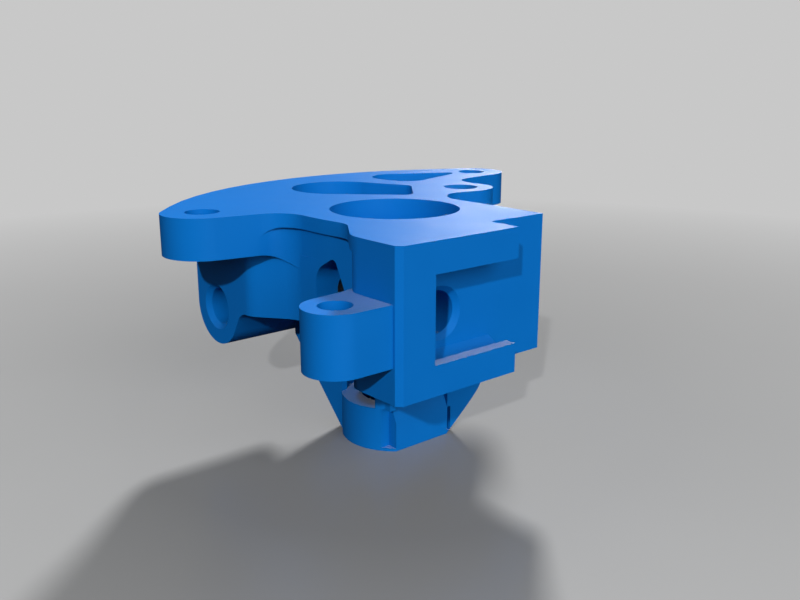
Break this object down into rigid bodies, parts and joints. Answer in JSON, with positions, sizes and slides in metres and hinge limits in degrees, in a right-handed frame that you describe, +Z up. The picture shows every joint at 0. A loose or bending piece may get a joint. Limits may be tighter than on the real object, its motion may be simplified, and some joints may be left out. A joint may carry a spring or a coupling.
{
  "type": "extruder gear assembly",
  "caption": "Printed gear housing of a compact filament extruder: eared plate, drive bore with hidden shaft, gear and bearings, fitting slot, lever lug and screw boss.",
  "frame": {"origin": "centre of the footprint, on the plane of the leg's lower end", "axes": "+X along the plate's long side towards the lever lug, +Y along the filament path towards the fitting slot, +Z up along the drive shaft, out of the face that the motor side bolts to"},
  "size_m": [0.051, 0.0416, 0.0234],
  "materials": {
    "blue_plastic": "satin",
    "shaft_steel": "ground",
    "bearing_steel": "ground",
    "ball_steel": "polished",
    "cage_steel": "pressed",
    "gear_steel": "machined",
    "black_steel": "black oxide",
    "brass": "turned",
    "ptfe": "waxy"
  },
  "bodies": {
    "housing": {"gearbox_housing": "blue_plastic", "upper_bearing_outer_ring": "bearing_steel", "lower_bearing_outer_ring": "bearing_steel", "outlet_liner_tube": "ptfe", "rear_ear_insert": "brass", "screw_boss_insert": "brass"},
    "drive_shaft_set": {"drive_shaft": "shaft_steel", "hobbed_drive_gear": "gear_steel", "drive_gear_grub_screw": "black_steel", "shaft_shim": "shaft_steel", "upper_bearing_inner_ring": "bearing_steel", "lower_bearing_inner_ring": "bearing_steel"},
    "upper_cage_set": {"upper_bearing_cage": "cage_steel", "upper_bearing_ball_1": "ball_steel", "upper_bearing_ball_2": "ball_steel", "upper_bearing_ball_3": "ball_steel", "upper_bearing_ball_4": "ball_steel", "upper_bearing_ball_5": "ball_steel", "upper_bearing_ball_6": "ball_steel", "upper_bearing_ball_7": "ball_steel", "upper_bearing_ball_8": "ball_steel"},
    "lower_cage_set": {"lower_bearing_cage": "cage_steel", "lower_bearing_ball_1": "ball_steel", "lower_bearing_ball_2": "ball_steel", "lower_bearing_ball_3": "ball_steel", "lower_bearing_ball_4": "ball_steel", "lower_bearing_ball_5": "ball_steel", "lower_bearing_ball_6": "ball_steel", "lower_bearing_ball_7": "ball_steel", "lower_bearing_ball_8": "ball_steel"}
  },
  "joints": [
    {"name": "drive_shaft_spin", "type": "hinge", "parent": "housing", "child": "drive_shaft_set", "pos_m": [0.00601, 0.00592, 0.012], "axis": [0, 0, 1], "continuous": true},
    {"name": "upper_cage_spin", "type": "hinge", "parent": "housing", "child": "upper_cage_set", "pos_m": [0.00601, 0.00592, 0.0199], "axis": [0, 0, 1], "continuous": true},
    {"name": "lower_cage_spin", "type": "hinge", "parent": "housing", "child": "lower_cage_set", "pos_m": [0.00601, 0.00592, 0.0018], "axis": [0, 0, 1], "continuous": true}
  ],
  "couplings": [
    {"joint": "upper_cage_spin", "follows": "drive_shaft_spin", "ratio": 0.4292},
    {"joint": "lower_cage_spin", "follows": "drive_shaft_spin", "ratio": 0.4164}
  ]
}
